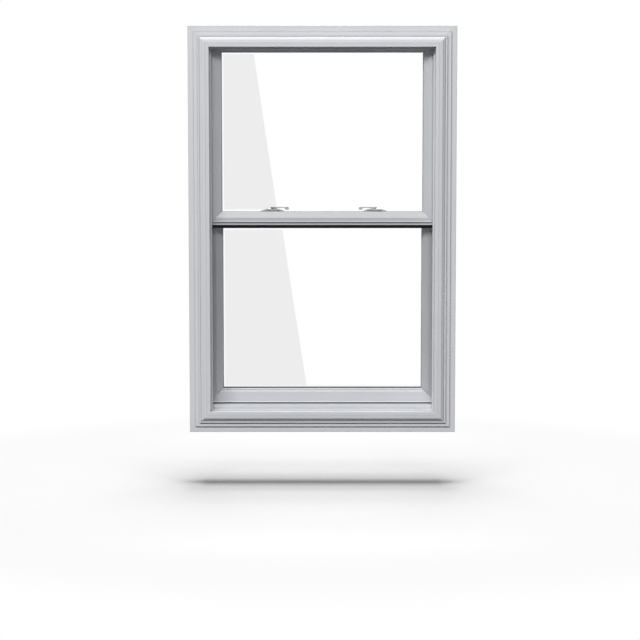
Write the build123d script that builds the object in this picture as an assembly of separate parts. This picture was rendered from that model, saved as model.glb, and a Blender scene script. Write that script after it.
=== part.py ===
from build123d import *
import os
from math import cos, radians, sin

# A white vinyl double-hung window seen in its closed state, with brickmould round its outside face.
# X runs along the window's width, Y from outdoors to indoors, Z up. Millimetres.
# The origin is at the middle of the frame's underside, in the wall plane behind the brickmould.

# Brickmould
overall_width = 635.0
overall_height = 965.2
trim_width = 50.8
trim_overhang = 25.4
trim_depth = 30.0
trim_wall = 2.2
trim_edge_round = 0.8
trim_flat_depth = 12.5
trim_flat_width = 14.0
trim_ledge_width = 9.6
trim_ledge_rise = 4.5
trim_fillet_width = 4.0
trim_fillet_rise = 5.0
ovolo_width = 7.0
ovolo_rise = 4.0
nose_step = 3.4
nose_flat_width = 7.0
quirk_width = 1.4
quirk_depth = 0.6
shadow_line_width = 0.7
shadow_line_depth = 0.9
nose_round = 0.8

# Frame
frame_nose = 6.0
frame_wall = 2.0
outer_stop_depth = 12.4
inner_stop_depth = 12.0
stop_reach = 29.6
parting_thickness = 2.0
parting_reach = 27.1
channel_depth = 15.0
channel_lip = 7.0
head_wall = 2.5
head_clearance = 3.9
side_clearance = 1.3
face_clearance = 0.6

# Sill
sill_nose_height = 26.6
sill_fall_height = 29.0
sill_lip_height = 38.0
sill_lip_width = 2.6
sill_lip_set_back = 1.0
sill_floor_height = 34.6
sill_height = 36.0
sill_leg_height = 54.0
sill_riser_back = 2.0
sill_seat_front = 0.5
sill_seat_step = 0.6
bottom_seal_height = 2.5
bottom_seal_foot = 7.0
bottom_seal_plate = 0.9
bottom_seal_end_gap = 12.0

# Sashes
sash_thickness = 30.0
track_gap = 3.0
sash_wall = 2.2
stile_width = 31.8
top_rail_height = 29.0
bottom_rail_height = 34.6
check_rail_height = 36.5
meeting_rail_height = 31.8
lower_sash_height = 458.5
meeting_overlap = 27.3
slope_width = 14.0
slope_depth = 5.6
face_set_back = 0.8
lip_depth = 9.0
lip_front = 7.2
leg_wall = 1.8
pocket_depth = 13.0
lip_round = 0.6
meeting_flat_depth = 1.8
meeting_bevel = 2.0
groove_edge = 0.8
groove_depth = 4.6
groove_height = 4.6
groove_rise = 2.2
groove_foot_depth = 0.4
first_ridge_height = 2.8
first_ridge_depth = 4.6
second_ridge_height = 7.2
second_ridge_depth = 1.4
ridge_groove = 0.7
ridge_width = 8.4
rail_step = 22.7
rail_step_depth = 0.3
drip_height = 3.0
drip_set_back = 0.9
drip_edge = 0.6
lift_rail_reach = 10.0
lift_rail_half = 250.0
lift_rail_wall = 2.0
lift_rail_drop = 2.4
interlock_lip = 0.9
interlock_drop = 7.0
interlock_fin = 2.0
interlock_fin_gap = 5.0
interlock_end_gap = 1.2

# Glass
pane_thickness = 3.0
air_space = 9.9
glass_bite = 11.0
spacer_width = 7.5
bead_clearance = 0.1
bead_edge = 1.6
bead_slope = 3.5
spacer_edge = 1.0

# Balances
tube_radius = 5.0
tube_wall = 1.0
tube_back_gap = 0.5
tube_top_gap = 12.0
tube_low_gap = 6.0
tube_screw_radius = 2.0
tube_screw_inset = 8.0
tube_screw_head = 2.0
tube_screw_head_radius = 3.8
tube_screw_end = 0.2
spiral_width = 6.0
spiral_thickness = 2.0
spiral_pitch = 60.0
rod_engaged = 25.0
shoe_height = 28.0
shoe_width = 25.0
shoe_clearance = 0.6
pivot_bar_width = 8.0
pivot_bar_height = 6.0
pivot_bar_inner = 22.0
pivot_bar_outer = 10.0
pivot_bar_level = 12.0
socket_clearance = 0.3

# What stops the two sashes at the end of their travel
lock_head_room = 6.3
rod_top_room = 23.2

# Tilt latches
latch_length = 53.0
latch_width = 15.0
latch_height = 15.0
latch_wall = 1.5
latch_clearance = 0.3
latch_throw = 8.0
latch_nose = 5.2
latch_nose_height = 10.0
latch_nose_width = 10.0
latch_nose_round = 2.0
latch_end_gap = 1.0
latch_thumb_height = 3.0
latch_thumb_inset = 2.0
latch_thumb_length = 10.0
latch_thumb_round = 1.2

# Cam locks
lock_spacing = 246.0
lock_length = 63.0
lock_width = 25.0
lock_offset = 3.5
lock_height = 11.2
lock_end_height = 2.4
lock_side_height = 8.0
lock_room_height = 6.2
lock_wall = 1.5
lock_set_back = 1.5
lock_pivot_depth = 13.0
spindle_radius = 3.0
spindle_clearance = 0.08
lever_thickness = 2.4
lever_width = 8.0
lever_length = 39.0
lever_tip_length = 12.0
lever_tip_drop = 4.0
lever_tip_flare = 1.5
lever_tip_slope = 0.7
lever_tip_foot = 30.0
collar_radius = 4.6
collar_gap = 0.3
lever_gap = 0.4
lock_turn = 110.0
cam_outer_radius = 20.4
cam_inner_radius = 18.0
cam_half_angle = 14.0
cam_plate = 1.6
cam_hub_radius = 6.5
cam_clearance = 0.4
keeper_length = 32.0
keeper_width = 4.8
keeper_plate = 1.6
keeper_lip_length = 10.0
keeper_lip_thickness = 1.0
keeper_lip_height = 2.3
lock_screw_radius = 1.8
lock_screw_spacing = 50.0
lock_screw_length = 10.0
lock_screw_hole = 12.0
lock_seat_height = 3.0
lock_head_radius = 3.2
lock_head_height = 1.8
lock_head_clearance = 0.2
keeper_screw_radius = 1.0
keeper_screw_length = 6.0
keeper_screw_hole = 7.0
keeper_head_radius = 1.8
keeper_head_height = 0.9
keeper_screw_spacing = 24.0
screw_hole_clearance = 0.1

# Fixing holes in the jambs
fixing_hole_radius = 2.5
fixing_hole_low = 57.2
fixing_hole_spacing = 840.0

# Pile seals
pile_width = 3.4
pile_depth = 2.6
pile_stand = 0.7
pile_inset = 1.4
pile_end_gap = 45.0
pile_clearance = 0.05
pile_groove_wall = 1.2

# Places worked out from the sizes
trim_half = overall_width / 2
frame_half = trim_half - trim_overhang
frame_height = overall_height - 2 * trim_overhang
frame_front = -frame_nose
outer_stop_back = frame_front + outer_stop_depth
upper_front = outer_stop_back + face_clearance
upper_back = upper_front + sash_thickness
lower_front = upper_back + track_gap
lower_back = lower_front + sash_thickness
inner_stop_front = lower_back + face_clearance
frame_back = inner_stop_front + inner_stop_depth
parting_front = upper_back + (track_gap - parting_thickness) / 2
parting_back = parting_front + parting_thickness
track_face = frame_half - channel_depth - 2 * frame_wall
sash_half = track_face - side_clearance
daylight_half = sash_half - stile_width
upper_top = frame_height - head_wall - head_clearance
lower_bottom = sill_height + bottom_seal_height
lower_top = lower_bottom + lower_sash_height
upper_bottom = lower_top - meeting_overlap
upper_daylight = (upper_bottom + meeting_rail_height, upper_top - top_rail_height)
lower_daylight = (lower_bottom + bottom_rail_height, lower_top - check_rail_height)
keeper_bead_drop = upper_daylight[0] - lower_top
upper_mid = (upper_front + upper_back) / 2
lower_mid = (lower_front + lower_back) / 2
glass_stack = 2 * pane_thickness + air_space
lock_pivot_y = lower_front + lock_pivot_depth
lock_top = lower_top + lock_height + lever_gap + lever_thickness
tube_top = frame_height - head_wall - tube_top_gap
tube_screw_level = tube_top - tube_screw_inset
tube_x = frame_half - frame_wall - tube_back_gap - tube_radius
upper_tube_low = upper_bottom + pivot_bar_level + shoe_height / 2 + tube_low_gap
lower_travel = frame_height - parting_reach - lock_top - lock_head_room
upper_travel = tube_screw_level - tube_screw_radius - rod_top_room - rod_engaged - upper_tube_low

SIDES = ("left", "right", "top", "bottom")
nodes = {}


def block(x, y, z):
    """A box from its low and high value on each axis."""
    middle = Pos((x[0] + x[1]) / 2, (y[0] + y[1]) / 2, (z[0] + z[1]) / 2)
    return middle * Box(x[1] - x[0], y[1] - y[0], z[1] - z[0])


def round_z(x, y, z, radius):
    return Pos(x, y, (z[0] + z[1]) / 2) * Cylinder(radius, z[1] - z[0])


def round_x(x, y, z, radius):
    return Pos((x[0] + x[1]) / 2, y, z) * Rot(0, 90, 0) * Cylinder(radius, x[1] - x[0])


def mirrored(shape):
    return mirror(shape, about=Plane.YZ)


def outline(points):
    return Polygon(*points, align=None)


def run_along_x(section, half):
    """A section in depth and height, run the same distance to each side of the middle."""
    return extrude(Plane.YZ.offset(-half) * section, amount=2 * half, dir=(1, 0, 0))


def side_plane(side, half, low, high, outward):
    """A section plane at one side of a rectangle: its own x is depth, its own y leads outward or inward."""
    sign = 1 if outward else -1
    direction = {"right": (sign, 0), "left": (-sign, 0), "top": (0, sign), "bottom": (0, -sign)}[side]
    origin = {"right": (half, 0), "left": (-half, 0), "top": (0, high), "bottom": (0, low)}[side]
    normal = Vector(0, 1, 0).cross(Vector(direction[0], 0, direction[1]))
    return Plane(origin=(origin[0], 0, origin[1]), x_dir=(0, 1, 0), z_dir=normal)


def mitre_zone(side, half, low, high, inner, outer):
    """The part of a rectangular ring that one side takes, cut at 45 degrees through its corners."""
    near, far = half - inner, half + outer
    down, up = (low + inner, low - outer), (high - inner, high + outer)
    if side in ("left", "right"):
        sign = 1 if side == "right" else -1
        points = [(sign * near, down[0]), (sign * far, down[1]), (sign * far, up[1]), (sign * near, up[0])]
    else:
        level = up if side == "top" else down
        points = [(-near, level[0]), (-far, level[1]), (far, level[1]), (near, level[0])]
    reach = overall_width
    face = Plane.XZ.offset(reach) * outline(points)
    return extrude(face, amount=2 * reach, dir=(0, 1, 0))


def mitred_bar(section, side, half, low, high, outward, inner, outer):
    """A section run along one side of a rectangle and mitred at both ends."""
    plane = side_plane(side, half, low, high, outward)
    bar = extrude(plane * section, amount=overall_height, both=True)
    return bar & mitre_zone(side, half, low, high, inner, outer)


def trim_section():
    """Brickmould section: own x is depth, own y leads inward from the trim's outer edge."""
    flat, ledge = trim_flat_depth, trim_flat_depth + trim_ledge_rise
    foot = ledge + trim_fillet_rise
    crest = foot + ovolo_rise
    ledge_edge = trim_flat_width + trim_ledge_width
    ovolo_start = ledge_edge + trim_fillet_width
    ovolo_end = ovolo_start + ovolo_width
    quirk_start = ovolo_end + nose_flat_width
    quirk_end = quirk_start + quirk_width
    points = [(0, 0), (-flat + trim_edge_round, 0), (-flat, trim_edge_round)]
    steps = ((flat, trim_flat_width, ledge), (ledge, ledge_edge, foot), (foot, ovolo_start, foot))
    for level, edge, risen in steps:
        points += [(-level, edge - shadow_line_width), (-level + shadow_line_depth, edge - shadow_line_width),
                   (-level + shadow_line_depth, edge), (-risen, edge)]
    front = Polyline(*points)
    bulge_radius = (ovolo_width ** 2 + ovolo_rise ** 2) / (2 * ovolo_rise)
    half_reach = ovolo_width / 2
    half_rise = bulge_radius - (bulge_radius ** 2 - half_reach ** 2) ** 0.5
    ovolo = ThreePointArc((-foot, ovolo_start), (-crest + half_rise, ovolo_end - half_reach),
                          (-crest, ovolo_end))
    nose_turn = trim_width - nose_round
    nose = Polyline(
        (-crest, ovolo_end), (-crest - nose_step, ovolo_end), (-trim_depth, quirk_start),
        (-trim_depth + quirk_depth, quirk_start + quirk_width / 2), (-trim_depth, quirk_end),
        (-trim_depth, nose_turn))
    turn_inset = nose_round * (1 - cos(radians(45)))
    corner = ThreePointArc((-trim_depth, nose_turn), (-trim_depth + turn_inset, trim_width - turn_inset),
                           (-trim_depth + nose_round, trim_width))
    back = Polyline((-trim_depth + nose_round, trim_width), (frame_front, trim_width),
                    (frame_front, trim_overhang), (0, trim_overhang), (0, 0))
    face = make_face(front + ovolo + nose + corner + back)
    low_chamber = outline([(-trim_wall, trim_wall), (-flat + trim_wall, trim_wall),
                           (-flat + trim_wall, trim_overhang - trim_wall),
                           (-trim_wall, trim_overhang - trim_wall)])
    near, far = frame_front - trim_wall, trim_width - trim_wall
    high_chamber = outline([
        (near, trim_overhang + trim_wall), (-foot + trim_wall, trim_overhang + trim_wall),
        (-crest + 2 * trim_wall, ovolo_end), (-trim_depth + 2 * trim_wall, quirk_start),
        (-trim_depth + 2 * trim_wall, far), (near, far)])
    return face - low_chamber - high_chamber


def make_brickmould():
    names = {"top": "brickmould_head", "bottom": "brickmould_bottom",
             "left": "brickmould_left", "right": "brickmould_right"}
    low, high = -trim_overhang, frame_height + trim_overhang
    section = trim_section()
    for side in SIDES:
        nodes[names[side]] = mitred_bar(section, side, trim_half, low, high, False, trim_width, 0.0)


def stop_boxes():
    """The outer and inner stops: hollow boxes that stand in from the frame's outer wall."""
    outer = outline([(frame_front, 0), (outer_stop_back, 0), (outer_stop_back, stop_reach),
                     (frame_front, stop_reach)])
    outer -= outline([(frame_front + frame_wall, frame_wall), (outer_stop_back - frame_wall, frame_wall),
                      (outer_stop_back - frame_wall, stop_reach - frame_wall),
                      (frame_front + frame_wall, stop_reach - frame_wall)])
    inner = outline([(inner_stop_front, 0), (frame_back, 0), (frame_back, stop_reach),
                     (inner_stop_front, stop_reach)])
    inner -= outline([(inner_stop_front + frame_wall, frame_wall), (frame_back - frame_wall, frame_wall),
                      (frame_back - frame_wall, stop_reach - frame_wall),
                      (inner_stop_front + frame_wall, stop_reach - frame_wall)])
    return outer, inner


def strip(depth, reach):
    """A rectangle in a section: its range of depth and its range of reach."""
    return outline([(depth[0], reach[0]), (depth[1], reach[0]), (depth[1], reach[1]), (depth[0], reach[1])])


def frame_section(wall):
    """Head and jamb section without the channel lips: own y leads inward from the frame's outer face."""
    outer, inner = stop_boxes()
    back_wall = strip((frame_front, frame_back), (0, wall))
    parting = strip((parting_front, parting_back), (0, parting_reach))
    return outer + inner + back_wall + parting


def channel_lips():
    """The four lips that close the balance channels but for a slot in each."""
    reach = (frame_half - track_face - frame_wall, frame_half - track_face)
    places = [(outer_stop_back, outer_stop_back + channel_lip), (parting_front - channel_lip, parting_front),
              (parting_back, parting_back + channel_lip), (inner_stop_front - channel_lip, inner_stop_front)]
    lips = None
    for depth in places:
        lip = strip(depth, reach)
        lips = lip if lips is None else lips + lip
    return lips


def sill_outline(wall):
    """Sill section in depth and height, moved in from its faces by the wall."""
    fall_front, fall_back = frame_front + wall, upper_front + sill_lip_set_back + wall
    lip = sill_lip_width - (wall if wall else 0.0)
    return outline([
        (sill_seat_front + wall, wall), (sill_seat_front + wall, sill_seat_step + wall),
        (fall_front, sill_seat_step + wall),
        (fall_front, sill_nose_height - wall), (fall_back, sill_fall_height - wall),
        (fall_back, sill_lip_height - wall), (fall_back + lip, sill_lip_height - wall),
        (fall_back + lip, sill_floor_height - wall), (lower_front - sill_riser_back, sill_height - wall),
        (inner_stop_front + wall, sill_height - wall), (inner_stop_front + wall, sill_leg_height - wall),
        (frame_back - wall, sill_leg_height - wall), (frame_back - wall, wall),
    ])


def jamb_envelope():
    """All that the right jamb takes in plan, with its channels filled, for the sill to stop against."""
    lip_reach = frame_half - track_face
    envelope = strip((frame_front, frame_back), (0, lip_reach))
    envelope += strip((frame_front, outer_stop_back), (0, stop_reach))
    envelope += strip((inner_stop_front, frame_back), (0, stop_reach))
    envelope += strip((parting_front, parting_back), (0, parting_reach))
    plane = side_plane("right", frame_half, 0, frame_height, False)
    return extrude(plane * envelope, amount=frame_height, dir=(0, 0, 1))


def make_frame():
    """Head and jambs mitred together, with a hollow sill fitted between the jambs."""
    web_depth = (parting_front, parting_back)
    web = strip(web_depth, (0, sill_height - frame_wall / 2))
    rear_web = strip((inner_stop_front - frame_wall, inner_stop_front), (0, sill_height - frame_wall / 2))
    hollow = sill_outline(frame_wall) - web - rear_web
    envelope = jamb_envelope()
    sill = run_along_x(sill_outline(0) - hollow, frame_half - frame_wall)
    nodes["frame_sill"] = sill - envelope - mirrored(envelope)

    head = mitred_bar(frame_section(head_wall), "top", frame_half, 0, frame_height, False, stop_reach, 0.0)
    nodes["frame_head"] = head

    jamb = mitred_bar(frame_section(frame_wall), "right", frame_half, -stop_reach, frame_height, False,
                      stop_reach, 0.0)
    lip_plane = side_plane("right", frame_half, 0, frame_height, False)
    lips = extrude(lip_plane * channel_lips(), amount=frame_height - head_wall, dir=(0, 0, 1))
    jamb = jamb + lips - block((0, trim_half), (-overall_width, overall_width), (-overall_width, 0))
    for level in (fixing_hole_low, fixing_hole_low + fixing_hole_spacing):
        jamb -= round_x((frame_half - frame_wall - 1, frame_half + 1), upper_mid, level, fixing_hole_radius)
    for middle in (upper_mid, lower_mid):
        jamb -= round_x((frame_half - frame_wall - 1, frame_half + 1), middle, tube_screw_level,
                        tube_screw_radius + screw_hole_clearance)
    nodes["frame_jamb_right"] = jamb
    nodes["frame_jamb_left"] = mirrored(jamb)


def sloped_face(flat):
    """The slope that leads from the glass to a flat at the given depth."""
    return [(lip_front, 0), (lip_front - lip_round, 2 * lip_round), (flat + lip_round, slope_width),
            (flat, slope_width + lip_round)]


def plain_face(width):
    """Outdoor face of a stile or the top rail: a long slope from the glass, then a flat."""
    return sloped_face(face_set_back) + [(face_set_back, width)]


def grooved_face(width):
    """Outdoor face of the meeting rail: slope and flat, then a bevelled edge over a groove."""
    edge = width - groove_height - groove_rise
    return sloped_face(meeting_flat_depth) + [
        (meeting_flat_depth, edge - groove_edge - meeting_bevel), (0, edge - groove_edge), (0, edge),
        (groove_depth, edge), (groove_depth, edge + groove_height),
        (groove_foot_depth, edge + groove_height), (groove_foot_depth, width)]


def stepped_face(width):
    """Outdoor face of the bottom rail: two small ridges, a broad flat, a step and a drip edge."""
    ridge_foot = first_ridge_height + ridge_groove
    groove_back = first_ridge_depth + ridge_groove
    return [(lip_front, 0), (lip_front - lip_round, lip_round), (first_ridge_depth, first_ridge_height),
            (first_ridge_depth, ridge_foot), (groove_back, ridge_foot + ridge_groove / 2),
            (groove_back, ridge_foot + ridge_groove), (second_ridge_depth, second_ridge_height),
            (face_set_back, ridge_width), (face_set_back, rail_step - face_set_back),
            (rail_step_depth, rail_step), (rail_step_depth, width - 2 * drip_height),
            (drip_set_back, width - drip_height), (0, width - drip_height / 2),
            (0, width - drip_edge), (drip_edge, width)]


def sash_section(width, face):
    """A hollow sash member: own y leads outward from the daylight edge, own x is depth."""
    back = [(sash_thickness, width), (sash_thickness, pocket_depth), (lip_depth, pocket_depth),
            (lip_depth, 0)]
    section = outline(face(width) + back)
    front = sash_wall + (groove_depth if face is grooved_face else face_set_back)
    main = strip((front, sash_thickness - sash_wall), (pocket_depth + sash_wall, width - sash_wall))
    leg_back = lip_depth - leg_wall
    leg = outline([(leg_back, pocket_depth / 2), (leg_back, pocket_depth),
                   (leg_back - leg_wall, pocket_depth)])
    return section - main - leg


def bead_section(drop):
    """A glazing bead on the indoor side, with a sloped face towards the glass."""
    front = lip_depth + glass_stack + bead_clearance
    return outline([(front, drop), (front, pocket_depth), (sash_thickness, pocket_depth),
                    (sash_thickness, drop + bead_slope), (front + bead_edge, drop)])


def make_sash(name, front, outer_box, daylight, rails):
    """Two stiles and two rails welded at mitred corners, with glass, spacer and glazing beads."""
    low, high = daylight
    shift = Pos(0, front, 0)
    clip = block((-sash_half, sash_half), (-overall_width, overall_width), outer_box)
    pieces = {}
    for side in SIDES:
        width, face, key = rails[side]
        bar = mitred_bar(sash_section(width, face), side, daylight_half, low, high, True, 0.0,
                         2 * stile_width)
        pieces[key] = shift * (bar & clip)
    glass = block((-daylight_half - glass_bite, daylight_half + glass_bite), (0, pane_thickness),
                  (low - glass_bite, high + glass_bite))
    outer_y = front + lip_depth
    inner_y = outer_y + pane_thickness + air_space
    pieces[name + "_outer_pane"] = Pos(0, outer_y, 0) * glass
    pieces[name + "_inner_pane"] = Pos(0, inner_y, 0) * glass
    spacer_reach = glass_bite - spacer_edge
    spacer_bar = strip((outer_y + pane_thickness, inner_y), (spacer_reach - spacer_width, spacer_reach))
    bars = [mitred_bar(spacer_bar, side, daylight_half, low, high, True, 0.0, spacer_reach) for side in SIDES]
    pieces[name + "_glass_spacer"] = Compound(bars)
    beads = []
    for side in SIDES:
        drop = keeper_bead_drop if (name == "upper" and side == "bottom") else 0.0
        bead = mitred_bar(bead_section(drop), side, daylight_half, low, high, True, 0.0, pocket_depth)
        beads.append(shift * bead)
    pieces[name + "_beads"] = beads
    return pieces


def spiral_rod(x, y, low, high):
    """A flat steel bar twisted evenly along its length."""
    section = Rectangle(spiral_width, spiral_thickness).face()
    height = high - low
    turns = 360.0 * height / spiral_pitch
    twisted = Solid.extrude_linear_with_rotation(section, (0, 0, 0), (0, 0, height), turns)
    return Pos(x, y, low) * twisted


def make_balance(name, middle, sash_bottom, travel_up, travel_down, pieces):
    """A spiral balance: tube screwed to the jamb, twisted rod and shoe that ride with the sash."""
    level = sash_bottom + pivot_bar_level
    shoe_low, shoe_high = level - shoe_height / 2, level + shoe_height / 2
    shoe_x = (track_face + frame_wall + shoe_clearance, frame_half - frame_wall - shoe_clearance)
    half_width, half_height = pivot_bar_width / 2, pivot_bar_height / 2
    bar_x = (sash_half - pivot_bar_inner, sash_half + pivot_bar_outer)
    bar = block(bar_x, (middle - half_width, middle + half_width), (level - half_height, level + half_height))
    room = socket_clearance
    slot_y = (middle - half_width - room, middle + half_width + room)
    slot_z = (level - half_height - room, level + half_height + room)
    socket = block((shoe_x[0] - 1, bar_x[1] + room), slot_y, slot_z)
    shoe = block(shoe_x, (middle - shoe_width / 2, middle + shoe_width / 2), (shoe_low, shoe_high)) - socket
    slot = block((bar_x[0] - room, sash_half + 1), slot_y, slot_z)
    tube_low = shoe_high + travel_up + tube_low_gap
    rod_high = tube_low + rod_engaged + travel_down
    tube = round_z(tube_x, middle, (tube_low, tube_top), tube_radius)
    tube -= round_z(tube_x, middle, (tube_low - 1, tube_top + 1), tube_radius - tube_wall)
    tube -= round_x((tube_x - 2 * tube_radius, frame_half), middle, tube_screw_level,
                    tube_screw_radius + screw_hole_clearance)
    rod = spiral_rod(tube_x, middle, shoe_high, rod_high)
    head_x = tube_x - tube_radius
    screw = round_x((head_x - tube_screw_head / 2, frame_half - tube_screw_end), middle, tube_screw_level,
                    tube_screw_radius)
    screw += round_x((head_x - tube_screw_head, head_x), middle, tube_screw_level, tube_screw_head_radius)
    for side, turn in (("right", lambda s: s), ("left", mirrored)):
        nodes[f"{name}_balance_tube_{side}"] = turn(tube)
        nodes[f"{name}_spiral_rod_{side}"] = turn(rod)
        nodes[f"{name}_balance_shoe_{side}"] = turn(shoe)
        nodes[f"{name}_pivot_bar_{side}"] = turn(bar)
        tube_screws.append(turn(screw))
        pieces[f"{name}_stile_{side}"] -= turn(slot)
        pieces[rail_below[name]] -= turn(slot)


tube_screws = []
rail_below = {"upper": "upper_meeting_rail", "lower": "lower_bottom_rail"}
rail_above = {"upper": "upper_top_rail", "lower": "lower_check_rail"}


def make_latches(name, middle, top, pieces):
    """A tilt latch let into each end of the sash's top: a fixed trough and a sprung slide."""
    low = top - latch_height
    inner = sash_half - latch_length
    notch_y = (middle - latch_width / 2 - latch_clearance, middle + latch_width / 2 + latch_clearance)
    notch = block((inner - latch_clearance, sash_half + 1), notch_y, (low - latch_clearance, top + 1))
    cavity_y = (middle - latch_width / 2 + latch_wall, middle + latch_width / 2 - latch_wall)
    trough = block((inner, sash_half), (middle - latch_width / 2, middle + latch_width / 2), (low, top))
    trough -= block((inner + latch_wall, sash_half + 1), cavity_y, (low + latch_wall, top + 1))
    slide_low = low + latch_wall + latch_clearance
    body_x = (inner + latch_wall + latch_throw + latch_end_gap, sash_half - latch_end_gap)
    body_y = (cavity_y[0] + latch_clearance, cavity_y[1] - latch_clearance)
    slide = block(body_x, body_y, (slide_low, top - latch_end_gap))
    nose_y = (middle - latch_nose_width / 2, middle + latch_nose_width / 2)
    nose = block((body_x[1], sash_half + latch_nose), nose_y, (slide_low, slide_low + latch_nose_height))
    nose_edges = nose.edges().filter_by(Axis.Z).group_by(Axis.X)[-1]
    nose = fillet(nose_edges, latch_nose_round)
    thumb_x = (body_x[0] + latch_thumb_inset, body_x[0] + latch_thumb_inset + latch_thumb_length)
    thumb = block(thumb_x, body_y, (top - latch_end_gap, top + latch_thumb_height))
    thumb_edges = thumb.edges().filter_by(Axis.Y).group_by(Axis.Z)[-1]
    thumb = fillet(thumb_edges, latch_thumb_round)
    slide = slide + nose + thumb
    for side, turn in (("right", lambda s: s), ("left", mirrored)):
        nodes[f"{name}_tilt_latch_{side}"] = turn(slide)
        pieces[f"{name}_stile_{side}"] -= turn(notch)
        pieces[rail_above[name]] -= turn(notch)
    nodes[f"{name}_latch_troughs"] = Compound([trough, mirrored(trough)])


def sector(radius, half_angle, low, high):
    """A wedge of a disc about the Z axis, pointing outdoors."""
    tip = 2 * radius
    side = tip * sin(radians(half_angle))
    front = -tip * cos(radians(half_angle))
    wedge = Plane.XY.offset(low) * outline([(0, 0), (-side, front), (side, front)])
    wedge = extrude(wedge, amount=high - low, dir=(0, 0, 1))
    return wedge & round_z(0, 0, (low, high), radius)


def dome(plane, span, crown, edge, shift=0.0):
    """All that lies under an arc that is high in the middle of a span and lower at both its ends."""
    half = span / 2
    arc = ThreePointArc((shift - half, edge), (shift, crown), (shift + half, edge))
    sides = Polyline((shift + half, edge), (shift + half, -1), (shift - half, -1), (shift - half, edge))
    return extrude(plane * make_face(arc + sides), amount=lock_length, both=True)


def make_lock():
    """A cam lock on the lower sash's check rail and its keeper on the upper sash's meeting rail."""
    x = lock_spacing / 2
    base = lower_top
    y0 = lower_front + lock_set_back
    plan = Pos(0, y0 + lock_width / 2 - lock_pivot_y, 0) * SlotOverall(lock_length, lock_width)
    body = extrude(plan, amount=lock_height, dir=(0, 0, 1))
    middle_y = y0 + lock_width / 2 - lock_pivot_y
    body &= dome(Plane.XZ, lock_length, lock_height, lock_end_height)
    body &= dome(Plane.YZ, lock_width, lock_height, lock_side_height, middle_y)
    room = round_z(0, 0, (-1, lock_room_height), cam_outer_radius + cam_clearance)
    front_wall = y0 - lock_pivot_y
    back_wall = front_wall + lock_width - lock_wall
    room &= block((-lock_length, lock_length), (front_wall - 1, back_wall), (-2, lock_height))
    body -= room
    body -= Cylinder(spindle_radius + spindle_clearance, 4 * lock_height)
    screws = []
    for sign in (-1, 1):
        sx = sign * lock_screw_spacing / 2
        sy = y0 + lock_width / 2 - lock_pivot_y
        body -= round_z(sx, sy, (-1, 2 * lock_height), lock_screw_radius + screw_hole_clearance)
        head_low = lock_seat_height
        body -= round_z(sx, sy, (head_low, 2 * lock_height), lock_head_radius + lock_head_clearance)
        screw = round_z(sx, sy, (-lock_screw_length, head_low + lock_head_height / 2), lock_screw_radius)
        screw += round_z(sx, sy, (head_low, head_low + lock_head_height), lock_head_radius)
        screws.append(screw)

    cam_top = lock_room_height - cam_clearance
    cam_low = keeper_plate + cam_clearance
    plate = (cam_top - cam_plate, cam_top)
    cam = round_z(0, 0, (cam_low, cam_top), cam_hub_radius)
    cam += sector(cam_outer_radius, cam_half_angle, *plate)
    ring = sector(cam_outer_radius, cam_half_angle, cam_low, cam_top)
    ring -= round_z(0, 0, (cam_low - 1, cam_top + 1), cam_inner_radius)
    cam += ring
    cam -= round_z(0, 0, (cam_low - 1, cam_top + 1), spindle_radius + spindle_clearance / 2)

    lever_low = lock_height + lever_gap
    lever_high = lever_low + lever_thickness
    spindle = round_z(0, 0, (cam_low, lever_low), spindle_radius)
    collar = round_z(0, 0, (lock_height + collar_gap, lever_high), collar_radius)
    arm_end = lever_length - lever_tip_length
    tip_low = lever_low - lever_tip_drop
    tip_half = lever_width / 2 + lever_tip_flare
    arm = block((-arm_end, 0), (-lever_width / 2, lever_width / 2), (lever_low, lever_high))
    tip = extrude(
        Plane.XZ.offset(tip_half) * outline([
            (-arm_end + lever_tip_flare, lever_high), (-arm_end + lever_tip_flare, lever_low),
            (-lever_tip_foot + lever_tip_slope, lever_low), (-lever_tip_foot, tip_low),
            (-lever_length, tip_low), (-lever_length, lever_high - lever_tip_flare),
            (-lever_length + 2 * lever_tip_flare, lever_high)]),
        amount=2 * tip_half, dir=(0, 1, 0))
    tip_edges = tip.edges().filter_by(Axis.Z)
    tip = fillet(tip_edges, lever_tip_flare)
    lever = spindle + collar + arm + tip

    keeper_y = (upper_back - keeper_width - lock_pivot_y, upper_back - lock_pivot_y)
    keeper = block((-keeper_length / 2, keeper_length / 2), keeper_y, (0, keeper_plate))
    keeper += block((-keeper_lip_length / 2, keeper_lip_length / 2),
                    (keeper_y[1] - keeper_lip_thickness, keeper_y[1]),
                    (keeper_plate, keeper_plate + keeper_lip_height))
    keeper_screw_list = []
    for sign in (-1, 1):
        sx = sign * keeper_screw_spacing / 2
        sy = sum(keeper_y) / 2
        head = (keeper_plate - keeper_head_height, keeper_plate)
        keeper -= round_z(sx, sy, (-1, 3), keeper_screw_radius + screw_hole_clearance)
        keeper -= round_z(sx, sy, (head[0], 3), keeper_head_radius + screw_hole_clearance)
        screw = round_z(sx, sy, (-keeper_screw_length, keeper_plate), keeper_screw_radius)
        screw += round_z(sx, sy, head, keeper_head_radius)
        keeper_screw_list.append(screw)
    place = Pos(x, lock_pivot_y, base)
    return {"base": place * body, "cam": place * Rot(0, 0, lock_turn) * cam, "lever": place * lever,
            "keeper": place * keeper, "screws": [place * s for s in screws],
            "keeper_screws": [place * s for s in keeper_screw_list]}


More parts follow.
